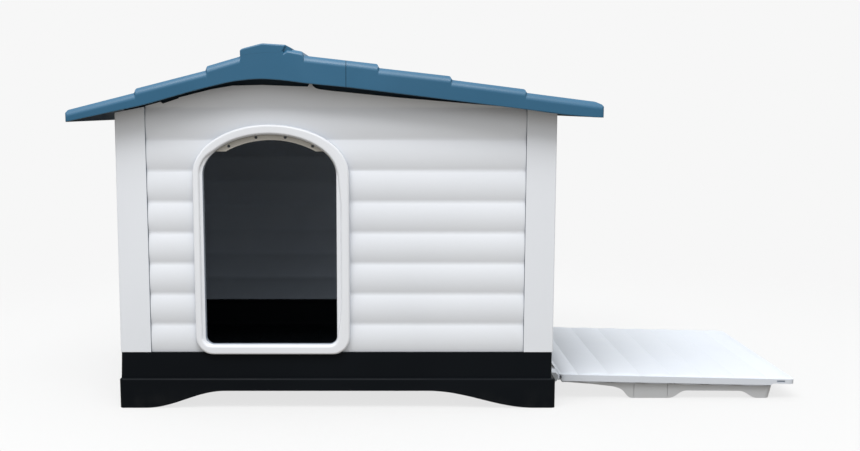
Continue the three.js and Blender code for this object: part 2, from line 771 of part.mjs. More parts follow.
export default kennel;
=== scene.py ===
import json
import math

import bmesh
import bpy
from mathutils import Matrix, Vector


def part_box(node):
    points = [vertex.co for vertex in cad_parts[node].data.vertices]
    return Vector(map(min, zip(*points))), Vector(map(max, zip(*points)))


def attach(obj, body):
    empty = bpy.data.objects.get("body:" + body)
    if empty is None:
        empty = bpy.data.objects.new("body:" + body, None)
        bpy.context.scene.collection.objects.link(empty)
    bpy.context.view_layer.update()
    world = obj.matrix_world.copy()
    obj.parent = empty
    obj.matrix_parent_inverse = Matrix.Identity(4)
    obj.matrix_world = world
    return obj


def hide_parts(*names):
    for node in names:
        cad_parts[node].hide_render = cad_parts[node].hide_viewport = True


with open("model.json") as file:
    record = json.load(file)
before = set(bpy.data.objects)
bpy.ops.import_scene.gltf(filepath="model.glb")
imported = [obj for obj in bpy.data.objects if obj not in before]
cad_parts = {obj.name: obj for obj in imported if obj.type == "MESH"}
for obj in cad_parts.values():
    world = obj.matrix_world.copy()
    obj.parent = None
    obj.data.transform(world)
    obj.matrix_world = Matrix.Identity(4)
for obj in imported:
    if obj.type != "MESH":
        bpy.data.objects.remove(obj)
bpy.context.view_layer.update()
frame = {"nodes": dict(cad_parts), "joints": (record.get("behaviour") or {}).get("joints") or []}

MM = 0.001

# ---- places read from the frame ----
POST_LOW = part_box("corner_post_front_left")[0]
POST_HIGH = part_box("corner_post_front_right")[1]
BACK_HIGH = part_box("corner_post_back_left")[1]
ORIGIN = Vector(((POST_LOW.x + POST_HIGH.x) / 2, POST_LOW.y, 0))
BODY_HALF = (POST_HIGH.x - POST_LOW.x) / 2 / MM
BODY_DEPTH = (BACK_HIGH.y - POST_LOW.y) / MM


def design(point):
    """A point of the row frame in metres as a point of the design frame in millimetres."""
    return (Vector(point) - ORIGIN) / MM


def node_box(name):
    low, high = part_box(name)
    return design(low), design(high)


# ---- dimensions ----
WALL = 3
LOG_PITCH = 65.9
LOG_BULGE = 4.2
LOG_CREST = 2
LOG_STEPS = 14
BASE_TOP = node_box("base_tub")[1].z
WALL_FOOT = BASE_TOP + 0.3
FIRST_CREASE = BASE_TOP - 5
PANEL_EDGE = node_box("front_wall")[1].x
POST_FRONT = 63.5
POST_SIDE = 68

SKIRT_HALF = 471
SKIRT_OUT = 8
BAND_HALF = 463.5
BASE_LEDGE = 64.5
ARCH_TOP = 37.5
FLOOR_TOP = 47
BASE_SKIN = 4
BASE_FLANGE = 18
BAND_LEFT_TOP, BAND_LEFT_LOW = 466, 468.5
RIB_PITCH = 75  # the ribs of the tub's floor

DOOR_MIDDLE = -141
DOOR_HALF = 141
DOOR_SILL = 138.5
ARCH_SPRING = 503
DOOR_RISE = 84
DOOR_CORNER = 17
RING_OUT = 9
SLEEVE_BACK = 13

ROOF_LOW, ROOF_HIGH = node_box("roof_left")[0], node_box("roof_right")[1]
ROOF_LEFT, ROOF_FRONT = ROOF_LOW.x, ROOF_LOW.y
ROOF_RIGHT, ROOF_BACK = ROOF_HIGH.x, ROOF_HIGH.y
ROOF_SEAM = 23
ROOF_SKIN = 4
FASCIA = 5

HINGE = design(frame["joints"][0]["pos_m"])
TERRACE_LOW, TERRACE_HIGH = node_box("terrace_panel")
TERRACE_FRONT, TERRACE_BACK = TERRACE_LOW.y, TERRACE_HIGH.y
TERRACE_START = 11.5
TERRACE_CREASE = 54.5
TERRACE_BORDER = 6
TERRACE_END = 537.8
TERRACE_TOP = 6.9
TERRACE_RIM = 14
TERRACE_SLOPE = math.radians(1.235)
TERRACE_PITCH = 71
TERRACE_BULGE = 3.4
TERRACE_LIP = 57
ARM_HALF = 28
VENT_FLANGE = 9


# ---- mesh kit ----
def loft(sections, caps=True):
    """A surface through closed rings of points that all have the same count."""
    mesh = bmesh.new()
    rings = [[mesh.verts.new(p) for p in ring] for ring in sections]
    count = len(rings[0])
    for low, high in zip(rings, rings[1:]):
        for i in range(count):
            j = (i + 1) % count
            mesh.faces.new((low[i], low[j], high[j], high[i]))
    if caps:
        mesh.faces.new(rings[0][::-1])
        mesh.faces.new(rings[-1])
    bmesh.ops.recalc_face_normals(mesh, faces=mesh.faces)
    return mesh


def closed_loft(sections):
    """A tube of rings that ends where it starts, such as a frame round a door."""
    return loft([*sections, sections[0]], caps=False)


def along_x(points, x0, x1):
    return loft([[(x, a, b) for a, b in points] for x in (x0, x1)])


def along_y(points, y0, y1):
    return loft([[(a, y, b) for a, b in points] for y in (y0, y1)])


def along_z(points, z0, z1):
    return loft([[(a, b, z) for a, b in points] for z in (z0, z1)])


def box(x0, x1, y0, y1, z0, z1):
    return along_z([(x0, y0), (x1, y0), (x1, y1), (x0, y1)], z0, z1)


def scratch_object(mesh):
    data = bpy.data.meshes.new("scratch")
    mesh.to_mesh(data)
    mesh.free()
    made = bpy.data.objects.new("scratch", data)
    bpy.context.scene.collection.objects.link(made)
    return made


def baked(obj):
    """The object's mesh with its modifiers, as a bmesh; the object goes."""
    evaluated = obj.evaluated_get(bpy.context.evaluated_depsgraph_get())
    mesh = bmesh.new()
    mesh.from_mesh(evaluated.to_mesh())
    data = obj.data
    bpy.data.objects.remove(obj)
    bpy.data.meshes.remove(data)
    return mesh


def combine(body, operation, tools):
    target = scratch_object(body)
    cutters = [scratch_object(tool) for tool in tools]
    for cutter in cutters:
        modifier = target.modifiers.new("combine", "BOOLEAN")
        modifier.operation = operation
        modifier.solver = "EXACT"
        modifier.object = cutter
    result = baked(target)
    for cutter in cutters:
        bpy.data.objects.remove(cutter)
    bmesh.ops.remove_doubles(result, verts=result.verts, dist=0.01)
    bmesh.ops.dissolve_limit(
        result, angle_limit=math.radians(0.5), verts=result.verts, edges=result.edges
    )
    return result


def cut(body, *tools):
    return combine(body, "DIFFERENCE", tools)


def join(body, *tools):
    return combine(body, "UNION", tools)


def keep_inside(body, tool):
    return combine(body, "INTERSECT", [tool])


def fillet(mesh, width, segments=3, angle=38, by_weight=False):
    """Rounds every edge that is sharper than the angle, or only the edges that have a bevel weight."""
    target = scratch_object(mesh)
    modifier = target.modifiers.new("fillet", "BEVEL")
    modifier.width = width
    modifier.segments = segments
    modifier.limit_method = "WEIGHT" if by_weight else "ANGLE"
    modifier.angle_limit = math.radians(angle)
    modifier.use_clamp_overlap = True
    modifier.miter_outer = "MITER_ARC"
    return baked(target)


def mirror_depth(mesh):
    """The same mesh for the back of the kennel."""
    for vert in mesh.verts:
        vert.co.y = BODY_DEPTH - vert.co.y
    bmesh.ops.reverse_faces(mesh, faces=mesh.faces)
    return mesh


def on_terrace(mesh):
    """From the hinge's frame (X towards the outer edge, Z up, depth as in the design) to the design frame."""
    turn = Matrix.Translation((HINGE.x, 0, HINGE.z)) @ Matrix.Rotation(TERRACE_SLOPE, 4, "Y")
    bmesh.ops.transform(mesh, matrix=turn, verts=mesh.verts)
    return mesh


def place(name, mesh, body, nodes, materials, sharp=32, inner=None):
    """Puts a finished mesh in the scene. Faces that inner(centre, normal) picks take the second material, a
    painted shade.
    """
    if inner:
        mesh.normal_update()
        for face in mesh.faces:
            face.material_index = 1 if inner(face.calc_center_median(), face.normal) else 0
    data = bpy.data.meshes.new(name)
    bmesh.ops.transform(mesh, matrix=Matrix.Translation(ORIGIN) @ Matrix.Scale(MM, 4), verts=mesh.verts)
    mesh.to_mesh(data)
    mesh.free()
    for material in materials:
        data.materials.append(material)
    data.polygons.foreach_set("use_smooth", [True] * len(data.polygons))
    data.set_sharp_from_angle(angle=math.radians(sharp))
    piece = bpy.data.objects.new(name, data)
    bpy.context.scene.collection.objects.link(piece)
    weighted = piece.modifiers.new("even_normals", "WEIGHTED_NORMAL")
    weighted.keep_sharp = True
    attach(piece, body)
    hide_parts(*nodes)
    return piece


# ---- outlines ----
def arc(cx, cz, rx, rz, start, end, steps):
    points = []
    for i in range(steps + 1):
        angle = math.radians(start + (end - start) * i / steps)
        points.append((cx + rx * math.cos(angle), cz + rz * math.sin(angle)))
    return points


def circle(cx, cz, radius, steps=32):
    return arc(cx, cz, radius, radius, 0, 360, steps)[:-1]


def rounded_rectangle(x0, x1, y0, y1, radius, steps=6):
    return [
        *arc(x1 - radius, y1 - radius, radius, radius, 0, 90, steps),
        *arc(x0 + radius, y1 - radius, radius, radius, 90, 180, steps),
        *arc(x0 + radius, y0 + radius, radius, radius, 180, 270, steps),
        *arc(x1 - radius, y0 + radius, radius, radius, 270, 360, steps),
    ]


def s_curve(a0, b0, a1, b1, steps=20):
    points = []
    for i in range(steps + 1):
        t = i / steps
        points.append((a0 + (a1 - a0) * t, b0 + (b1 - b0) * (1 - math.cos(math.pi * t)) / 2))
    return points


def soften(points, radius, steps=4):
    """Rounds the inner corners of an open line of points."""
    line = [Vector(p) for p in points]
    made = [line[0]]
    for before, here, after in zip(line, line[1:], line[2:]):
        reach = min(radius, (before - here).length * 0.45, (after - here).length * 0.45)
        start = here + (before - here).normalized() * reach
        end = here + (after - here).normalized() * reach
        for i in range(steps + 1):
            t = i / steps
            made.append(start * (1 - t) ** 2 + here * 2 * t * (1 - t) + end * t * t)
    made.append(line[-1])
    return [tuple(p) for p in made]


def height_on(line, x):
    """Height of a line that runs from left to right."""
    for (x0, z0), (x1, z1) in zip(line, line[1:]):
        if x0 <= x <= x1 and x1 > x0:
            return z0 + (z1 - z0) * (x - x0) / (x1 - x0)
    return line[-1][1]


def smooth_step(t):
    t = min(max(t, 0.0), 1.0)
    return t * t * (3 - 2 * t)


# ---- materials ----
def set_range(node, low, high, out_low, out_high):
    """Sets a Map Range node."""
    for socket, number in zip(("From Min", "From Max", "To Min", "To Max"), (low, high, out_low, out_high)):
        node.inputs[socket].default_value = number


def plastic(name, light, dark, roughness, patch=2.5, grain=650, bump=0.04, specular=0.5, dust=None):
    """Moulded plastic: slow colour drift, fine grain, uneven gloss, and dust that settles low down."""
    material = bpy.data.materials.new(name)
    material.use_nodes = True
    nodes, links = material.node_tree.nodes, material.node_tree.links
    shader = nodes["Principled BSDF"]
    where = nodes.new("ShaderNodeTexCoord")

    def noise(scale, detail, distortion=0.0):
        made = nodes.new("ShaderNodeTexNoise")
        made.inputs["Scale"].default_value = scale
        made.inputs["Detail"].default_value = detail
        made.inputs["Distortion"].default_value = distortion
        links.new(where.outputs["Object"], made.inputs["Vector"])
        return made.outputs["Fac"]

    def spread(value, low, high, out_low, out_high):
        made = nodes.new("ShaderNodeMapRange")
        set_range(made, low, high, out_low, out_high)
        links.new(value, made.inputs["Value"])
        return made.outputs["Result"]

    def blend(factor, first, second):
        made = nodes.new("ShaderNodeMix")
        made.data_type = "RGBA"
        links.new(factor, made.inputs["Factor"])
        for socket, colour in ((made.inputs[6], first), (made.inputs[7], second)):
            if isinstance(colour, tuple):
                socket.default_value = (*colour, 1)
            else:
                links.new(colour, socket)
        return made.outputs[2]

    colour = blend(spread(noise(patch, 4, 0.6), 0.35, 0.65, 0, 1), dark, light)
    if dust:
        level, strength, tint = dust
        split = nodes.new("ShaderNodeSeparateXYZ")
        links.new(where.outputs["Object"], split.inputs["Vector"])
        low = spread(split.outputs["Z"], 0.0, level, strength, 0.0)
        speck = nodes.new("ShaderNodeMath")
        speck.operation = "MULTIPLY"
        links.new(low, speck.inputs[0])
        links.new(spread(noise(38, 6), 0.42, 0.7, 0, 1), speck.inputs[1])
        colour = blend(speck.outputs["Value"], colour, tint)
    links.new(colour, shader.inputs["Base Color"])
    links.new(spread(noise(9, 5), 0.3, 0.7, roughness - 0.07, roughness + 0.09), shader.inputs["Roughness"])
    shader.inputs["Specular IOR Level"].default_value = specular
    relief = nodes.new("ShaderNodeBump")
    relief.inputs["Strength"].default_value = bump
    relief.inputs["Distance"].default_value = 0.0012
    links.new(noise(grain, 3), relief.inputs["Height"])
    links.new(relief.outputs["Normal"], shader.inputs["Normal"])
    return material


def metal(name, colour, roughness):
    dark = tuple(c * 0.8 for c in colour)
    material = plastic(name, colour, dark, roughness, patch=60, grain=2500, bump=0.05)
    material.node_tree.nodes["Principled BSDF"].inputs["Metallic"].default_value = 1
    return material


WHITE = plastic("white_wall", (0.80, 0.825, 0.875), (0.775, 0.80, 0.85), 0.46, specular=0.3,
                dust=(0.2, 0.10, (0.6, 0.58, 0.54)))
FRAME_WHITE = plastic("white_frame", (0.83, 0.85, 0.89), (0.80, 0.82, 0.865), 0.36, grain=900, bump=0.025,
                      specular=0.4)
# A darker copy of the wall white for the terrace: painted shade that tones down the stronger light on its
# upward face.
TERRACE_WHITE_PAINTED_SHADE = plastic("white_terrace_painted_shade", (0.695, 0.73, 0.795), (0.68, 0.715, 0.775), 0.42, specular=0.35)
# A grey copy of the white plastic: painted shade for the leg frame under the tray; the dust low down is dirt.
LEG_WHITE_PAINTED_SHADE = plastic("leg_white_painted_shade", (0.53, 0.54, 0.56), (0.505, 0.515, 0.53), 0.5, specular=0.3,
                    dust=(0.05, 0.2, (0.5, 0.48, 0.45)))
# A grey copy of the white plastic: painted shade for the inner faces, the doorway's sleeve and reveal, and
# the backs behind the seams and slots.
WHITE_PAINTED_SHADE = plastic("white_painted_shade", (0.38, 0.43, 0.50), (0.34, 0.385, 0.455), 0.6, specular=0.2)
BLUE = plastic("roof_blue", (0.026, 0.124, 0.230), (0.021, 0.110, 0.206), 0.36, patch=4, grain=420, bump=0.08,
               specular=0.5)
# A dark copy of the roof blue: painted shade for the roof's hollow underside and the ribs beneath it.
BLUE_PAINTED_SHADE = plastic("roof_blue_painted_shade", (0.030, 0.055, 0.080), (0.024, 0.045, 0.068), 0.55, patch=4,
                     specular=0.2)
BLACK = plastic("base_black", (0.0045, 0.0062, 0.0085), (0.0036, 0.0050, 0.0070), 0.45, grain=500, bump=0.08,
                specular=0.08, dust=(0.05, 0.20, (0.03, 0.03, 0.03)))
BEIGE = plastic("lintel_beige", (0.50, 0.48, 0.44), (0.45, 0.43, 0.39), 0.5, patch=14, specular=0.3)
GREY = plastic("fitting_grey", (0.42, 0.44, 0.47), (0.36, 0.38, 0.41), 0.45, patch=20)
STEEL = metal("zinc_steel", (0.55, 0.56, 0.57), 0.33)


# ---- base ----
FRONT_FEET, FRONT_RUNS = (56, 45), (172, 230)  # [left, right]: width of the foot, length of the arch's rise
SIDE_FEET, SIDE_RUNS = (104, 104), (96, 96)
BASE_LIP = 2.5  # the chamfer at the top of the skirt
PAD = 40  # the blocks over the feet
CLEAR = 60  # how far a cutting tool runs past the shape it cuts


def arch_outline(left, right, feet, runs):
    (foot_left, foot_right), (run_left, run_right) = feet, runs
    return [
        (left + foot_left - 0.5, -5),
        *s_curve(left + foot_left, 0, left + foot_left + run_left, ARCH_TOP),
        *s_curve(right - foot_right - run_right, ARCH_TOP, right - foot_right, 0),
        (right - foot_right + 0.5, -5),
    ]


def plan_ring(left, right, front, back, radius, z):
    """A rounded rectangle seen from above, at one height."""
    return [(x, y, z) for x, y in rounded_rectangle(left, right, front, back, radius)]


def build_base():
    back = BODY_DEPTH + SKIRT_OUT
    skirt = loft([
        plan_ring(-SKIRT_HALF, SKIRT_HALF, -SKIRT_OUT, back, 9, 0),
        plan_ring(-SKIRT_HALF, SKIRT_HALF, -SKIRT_OUT, back, 9, BASE_LEDGE - BASE_LIP),
        plan_ring(-SKIRT_HALF + BASE_LIP, SKIRT_HALF - BASE_LIP, -SKIRT_OUT + BASE_LIP, back - BASE_LIP, 6,
                  BASE_LEDGE),
    ])
    band = loft([
        plan_ring(-BAND_LEFT_LOW, BAND_HALF, -0.5, BODY_DEPTH + 0.5, 6, BASE_LEDGE - 4),
        plan_ring(-BAND_LEFT_TOP, BAND_HALF, -0.5, BODY_DEPTH + 0.5, 6, BASE_TOP),
    ])
    inside = BAND_HALF - BASE_SKIN
    tub_plan = rounded_rectangle(-inside, inside, BASE_SKIN, BODY_DEPTH - BASE_SKIN, 12)
    tub = along_z(tub_plan, FLOOR_TOP, BASE_TOP - BASE_SKIN)
    mouth_half, mouth_back = BAND_HALF - BASE_FLANGE, BODY_DEPTH - BASE_FLANGE
    mouth_plan = rounded_rectangle(-mouth_half, mouth_half, BASE_FLANGE, mouth_back, 10)
    mouth = along_z(mouth_plan, FLOOR_TOP + 1, BASE_TOP + 5)
    hollow = SKIRT_HALF - BASE_SKIN
    under = box(-hollow, hollow, -SKIRT_OUT + BASE_SKIN, back - BASE_SKIN, -5, FLOOR_TOP - WALL)
    front = along_y(arch_outline(-SKIRT_HALF, SKIRT_HALF, FRONT_FEET, FRONT_RUNS), -CLEAR, back + CLEAR)
    side_arch = arch_outline(-SKIRT_OUT, back, SIDE_FEET, SIDE_RUNS)
    side = along_x(side_arch, -SKIRT_HALF - CLEAR, SKIRT_HALF + CLEAR)
    shell = cut(join(skirt, band), tub, mouth, under, front, side)
    pads = []
    for side_sign in (-1, 1):
        for end in (-SKIRT_OUT + BASE_SKIN + PAD / 2 - 1, back - BASE_SKIN - PAD / 2 + 1):
            x = side_sign * (hollow - PAD / 2 + 1)
            pads.append(box(x - PAD / 2, x + PAD / 2, end - PAD / 2, end + PAD / 2, 0, FLOOR_TOP - 1))
    ribs = []
    for i in range(-5, 6):
        x, end = i * RIB_PITCH, 60
        ribs.append(box(x - 3, x + 3, end, BODY_DEPTH - end, FLOOR_TOP - 1, FLOOR_TOP + 1.6))
    whole = join(shell, *pads, *ribs)
    place("base_shell", fillet(whole, 1.2), "kennel", ["base_tub"], [BLACK])


# ---- walls ----
SEAM_FILL = 0.2  # the panels reach this much closer to the posts than in the plain model
GABLE_TOP = [
    (-465, 633), (-402, 646), (-368, 655.5), (-363.2, 651.7), (-329.5, 662.8), (-329, 664.4),
    (-263, 681), (-217, 689), (-154, 690.4), (-62, 687), (-58.5, 687), (-55.4, 693), (-50.2, 693),
    (-47.4, 688), (-42.5, 684), (-36, 681.8), (-12, 678.6), (134.5, 664), (337, 647), (397, 642), (464, 637),
]


def log_depth(z):
    t = ((z - FIRST_CREASE) / LOG_PITCH) % 1
    return LOG_CREST + LOG_BULGE * (2 * t - 1) ** 2


def log_section(z0, z1, thickness=WALL):
    """Closed outline of the log pattern: [depth behind the post face, height]."""
    step = LOG_PITCH / LOG_STEPS
    first = math.ceil((z0 - FIRST_CREASE) / step)
    last = math.floor((z1 - FIRST_CREASE) / step)
    heights = [z0, *(FIRST_CREASE + k * step for k in range(first, last + 1)), z1]
    heights = [z for i, z in enumerate(heights) if i == 0 or z - heights[i - 1] > 0.01]
    face = [(log_depth(z), z) for z in heights]
    return [*face, *((d + thickness, z) for d, z in reversed(face))]


def gable_wall():
    logs = along_x(log_section(WALL_FOOT - 3, 700), -PANEL_EDGE - SEAM_FILL, PANEL_EDGE + SEAM_FILL)
    inner_top = [(x, z) for x, z in GABLE_TOP if abs(x) < PANEL_EDGE]
    outline = [
        (-PANEL_EDGE - 5, WALL_FOOT),
        (-PANEL_EDGE - 5, height_on(GABLE_TOP, -PANEL_EDGE) - 1),
        *inner_top,
        (PANEL_EDGE + 5, height_on(GABLE_TOP, PANEL_EDGE) - 1),
        (PANEL_EDGE + 5, WALL_FOOT),
    ]
    return keep_inside(logs, along_y(outline, -30, 60))


def build_gable_walls():
    front = cut(gable_wall(), along_y(door_outline(WALL + 0.3), -30, 60))
    # The wall's inner faces take the painted shade white.
    place("front_wall_logs", front, "kennel", ["front_wall"], [WHITE, WHITE_PAINTED_SHADE],
          inner=lambda centre, normal: normal.y > 0.3)
    low, high = node_box("vent_grille")
    hole = box(low.x + VENT_FLANGE, high.x - VENT_FLANGE, -30, 60, low.z + VENT_FLANGE, high.z - VENT_FLANGE)
    back = mirror_depth(cut(gable_wall(), hole))
    # The wall's inner faces take the painted shade white.
    place("back_wall_logs", back, "kennel", ["back_wall"], [WHITE, WHITE_PAINTED_SHADE],
          inner=lambda centre, normal: normal.y < -0.3)


def build_seam_backs():
    """Strips behind the seams between the gable panels and the posts, so that no light falls through; they
    take the painted shade white, so the seams read dark.
    """
    half_width, thick = 12, 2
    near = LOG_CREST + LOG_BULGE + WALL + 0.3
    strips = []
    for x in (-PANEL_EDGE, PANEL_EDGE):
        top = height_on(GABLE_TOP, x) - 6
        for depth in (near, BODY_DEPTH - near - thick):
            strips.append(box(x - half_width, x + half_width, depth, depth + thick, WALL_FOOT + 1, top))
    place("seam_backs", merged(strips), "kennel", [], [WHITE_PAINTED_SHADE])


def build_left_wall():
    low, high = node_box("left_wall")
    section = [(-BODY_HALF + d, z) for d, z in log_section(low.z, high.z)]
    # The wall's inner faces take the painted shade white.
    place("left_wall_logs", along_y(section, low.y, high.y), "kennel", ["left_wall"], [WHITE, WHITE_PAINTED_SHADE],
          inner=lambda centre, normal: normal.x > 0.3)


def build_header():
    low, high = node_box("side_header")
    section = [
        (high.x, low.z), (high.x, high.z), (low.x, high.z), (low.x, high.z - WALL),
        (high.x - WALL, high.z - WALL), (high.x - WALL, low.z + WALL), (low.x, low.z + WALL), (low.x, low.z),
    ]
    rail = fillet(along_y(section, low.y, high.y), 1.2)
    # The rail's inner faces take the painted shade white.
    place("side_header_rail", rail, "kennel", ["side_header"], [WHITE, WHITE_PAINTED_SHADE],
          inner=lambda centre, normal: normal.x < -0.5)


POST_DRAFT = 2.4  # the left posts widen this much towards the base
POST_TOPS = {-1: (632, 646.5), 1: (637, 641.5)}  # heights at the post's outer and inner edge, left and right


def corner_post(side):
    out, near = BODY_HALF, BODY_HALF - POST_FRONT
    plan = [
        *arc(-out + 3, 3, 3, 3, 180, 270, 5),
        (-near, 0), (-near, WALL), (-out + WALL, WALL), (-out + WALL, POST_SIDE), (-out, POST_SIDE),
    ]
    outer, inner = POST_TOPS[side]
    slope = [(-out - 5, 100), (-near + 5, 100), (-near + 5, inner), (-out - 5, outer)]
    post = keep_inside(along_z(plan, WALL_FOOT, 700), along_y(slope, -10, POST_SIDE + 10))
    if side < 0:
        for vert in post.verts:
            if vert.co.x < -BODY_HALF + 1:
                vert.co.x -= POST_DRAFT * (1 - (vert.co.z - WALL_FOOT) / (outer - WALL_FOOT))
    if side > 0:
        for vert in post.verts:
            vert.co.x = -vert.co.x
        bmesh.ops.reverse_faces(post, faces=post.faces)
    return fillet(post, 0.7, 2)


def build_posts():
    for side, across in ((-1, "left"), (1, "right")):
        for end, toward in (("front", 1), ("back", -1)):
            post = corner_post(side) if end == "front" else mirror_depth(corner_post(side))

            # The post's faces towards the inside take the painted shade white.
            def post_painted_shade_faces(centre, normal):
                turned_in = normal.y * toward > 0.5 or normal.x * side < -0.5
                return abs(centre.x) < BODY_HALF - 3 and turned_in

            place(f"post_{end}_{across}", post, "kennel", [f"corner_post_{end}_{across}"], [WHITE, WHITE_PAINTED_SHADE],
                  inner=post_painted_shade_faces)


# ---- doorway ----
def door_outline(grow, steps=40):
    corner = DOOR_CORNER + grow
    left, right = DOOR_MIDDLE - DOOR_HALF - grow, DOOR_MIDDLE + DOOR_HALF + grow
    foot = DOOR_SILL - grow
    sides = 6
    straight = ARCH_SPRING - foot - corner
    right_side = [(right, foot + corner + straight * i / sides) for i in range(1, sides)]
    left_side = [(left, z) for _, z in reversed(right_side)]
    return [
        *right_side,
        *arc(DOOR_MIDDLE, ARCH_SPRING, DOOR_HALF + grow, DOOR_RISE + grow, 0, 180, steps),
        *left_side,
        *arc(left + corner, foot + corner, corner, corner, 180, 270, 8),
        *arc(right - corner, foot + corner, corner, corner, 270, 360, 8),
    ]


RING_WIDTH = 21.5
RING_ROUND = 5  # radius of the ring's two front edges
RING_FOOT = 118.4  # the ring's lower edge in front of the wall
STOP_WIDTH = 7.5  # the flat stop on the right jamb
REVEAL = 5.5  # the left jamb's face recedes this much
RING_EXTRA = 6  # the ring is this much wider on its right side


def ring_shift(x, z, y, grow):
    """How far a point of the ring's section moves along X, which makes the two jambs differ."""
    height = smooth_step((z - 165) / 30) * smooth_step((520 - z) / 50)
    on_face = y < -3.3
    if on_face and grow < RING_WIDTH / 2:
        right = smooth_step((x - DOOR_MIDDLE - DOOR_HALF * 0.92) / 8)
        left = smooth_step((DOOR_MIDDLE - x - DOOR_HALF * 0.80) / 20)
        return STOP_WIDTH * right * height - REVEAL * left
    if grow > RING_WIDTH / 2:
        return RING_EXTRA * smooth_step((x - DOOR_MIDDLE) / DOOR_HALF)
    return 0.0


def build_door_frame():
    """A raised ring with a rounded section and a sleeve through the wall; the right jamb has a stop."""
    rounding = []
    for degrees in range(0, 91, 15):
        angle = math.radians(degrees)
        rounding.append((RING_ROUND * (1 - math.sin(angle)) - RING_OUT, RING_ROUND * (1 - math.cos(angle))))
    front = [(grow + 1.2, y) for y, grow in rounding]
    outer = [(RING_WIDTH - grow, y) for y, grow in reversed(rounding)]
    section = [
        (0, SLEEVE_BACK), (0, 1), (0, -1.5), (0.8, -3.2), *front, *outer, (RING_WIDTH, 8.5), (WALL, 8.5),
        (WALL, SLEEVE_BACK),
    ]
    rings = []
    for grow, y in section:
        foot = RING_FOOT if y < -0.8 else WALL_FOOT
        rings.append([(x + ring_shift(x, z, y, grow), y, max(z, foot)) for x, z in door_outline(grow)])

    # The sleeve's inner faces and the left jamb's reveal take the painted shade white.
    def shaded(centre, normal):
        left_reveal = -8 < centre.x - DOOR_MIDDLE + DOOR_HALF < 3
        return centre.y > 1 or (left_reveal and centre.y > -4.5 and normal.x > 0.2 and normal.y > -0.9)

    place("door_ring", closed_loft(rings), "kennel", ["door_frame"], [FRAME_WHITE, WHITE_PAINTED_SHADE],
          sharp=40, inner=shaded)


LINTEL_HOLES = ((-88.5, 563), (-31, 581.5), (31, 581.5), (88.5, 563))  # [from the plate's middle, height]
LINTEL_HOLE_RADIUS = 3.2
LINTEL_HALF, LINTEL_RISE = 95, 24  # half width and height of the arc in the plate's lower edge


def build_lintel():
    low, high = node_box("door_lintel")
    x = (low.x + high.x) / 2 + 3
    radius = (LINTEL_HALF ** 2 + LINTEL_RISE ** 2) / (2 * LINTEL_RISE)
    turn = math.degrees(math.asin(LINTEL_HALF / radius))
    lower = arc(x, low.z + LINTEL_RISE - radius, radius, radius, 90 - turn, 90 + turn, 40)
    left, right, above = x - DOOR_HALF - 10, x + DOOR_HALF + 10, 640
    outline = [*lower, (left, low.z), (left, above), (right, above), (right, low.z)]
    plate = keep_inside(along_y(outline, low.y, high.y), along_y(door_outline(-0.3), low.y - 5, high.y + 5))
    holes = []
    for offset, height in LINTEL_HOLES:
        holes.append(along_y(circle(x + offset, height, LINTEL_HOLE_RADIUS, 20), low.y - 5, high.y + 5))
    drilled = fillet(cut(plate, *holes), 0.6, 2)
    place("lintel_plate", drilled, "kennel", ["door_lintel"], [BEIGE])


# ---- roof ----
COURSES_LEFT = [(-552, 638.7), (-412.6, 673.7), (-410, 682.4), (-264.7, 719), (-262.6, 727.7), (-195.5, 747)]
COURSES_RIGHT = [
    (-62.5, 749), (87.5, 732), (91, 724), (237, 707.6), (241, 700), (391, 681), (395, 673.7),
    (536.5, 655.6), (551, 649.5),
]
CAP_SEAT = [(-193.4, 749.4), (-171, 752.4), (-145, 754.6), (-122.6, 756), (-106, 757.2)]
BLOCK = [(-97, 763), (-66.5, 757.3)]  # the raised end of the right half beside the ridge cap
FASCIA_LINE = [
    (ROOF_LEFT, 614), (-392, 649), (-304.5, 674), (-257, 686), (-210, 697), (-157, 702.3), (-108, 699.3),
    (-55, 692), (23, 685), (392, 640), (461, 630), (533, 623.6), (ROOF_RIGHT, 623),
]
EAVE_LEFT, EAVE_RIGHT = (ROOF_LEFT, 632), (ROOF_RIGHT, 644)
ROOF_TOP = [EAVE_LEFT, *COURSES_LEFT, *CAP_SEAT, *BLOCK, *COURSES_RIGHT, EAVE_RIGHT]


def pairs(courses):
    """The two ends of each course's top, in the order of the line."""
    ends = len(courses) // 2 * 2
    return list(zip(courses[0:ends:2], courses[1:ends:2]))


EDGE_REACH = 15  # how far down the boards' front and back edges are eased
EDGE_SET_BACK = 9  # how far the eased edge leans back at its top
BLOCK_REACH = 9  # the same reach on the block beside the cap
NOSE_RADIUS = 4
END_RADIUS = 6  # the noses at the two eaves


def rounded(distance, radius):
    """How far a rounded edge stands back at a distance from the outline."""
    if distance >= radius:
        return 0.0
    return radius - math.sqrt(radius ** 2 - (radius - max(distance, 0.0)) ** 2)


def eased(distance, reach):
    """The same for a broad, soft edge that leans back evenly, as along the fronts of the boards."""
    share = 1 - min(max(distance / reach, 0.0), 1.0)
    return EDGE_SET_BACK * share ** 2


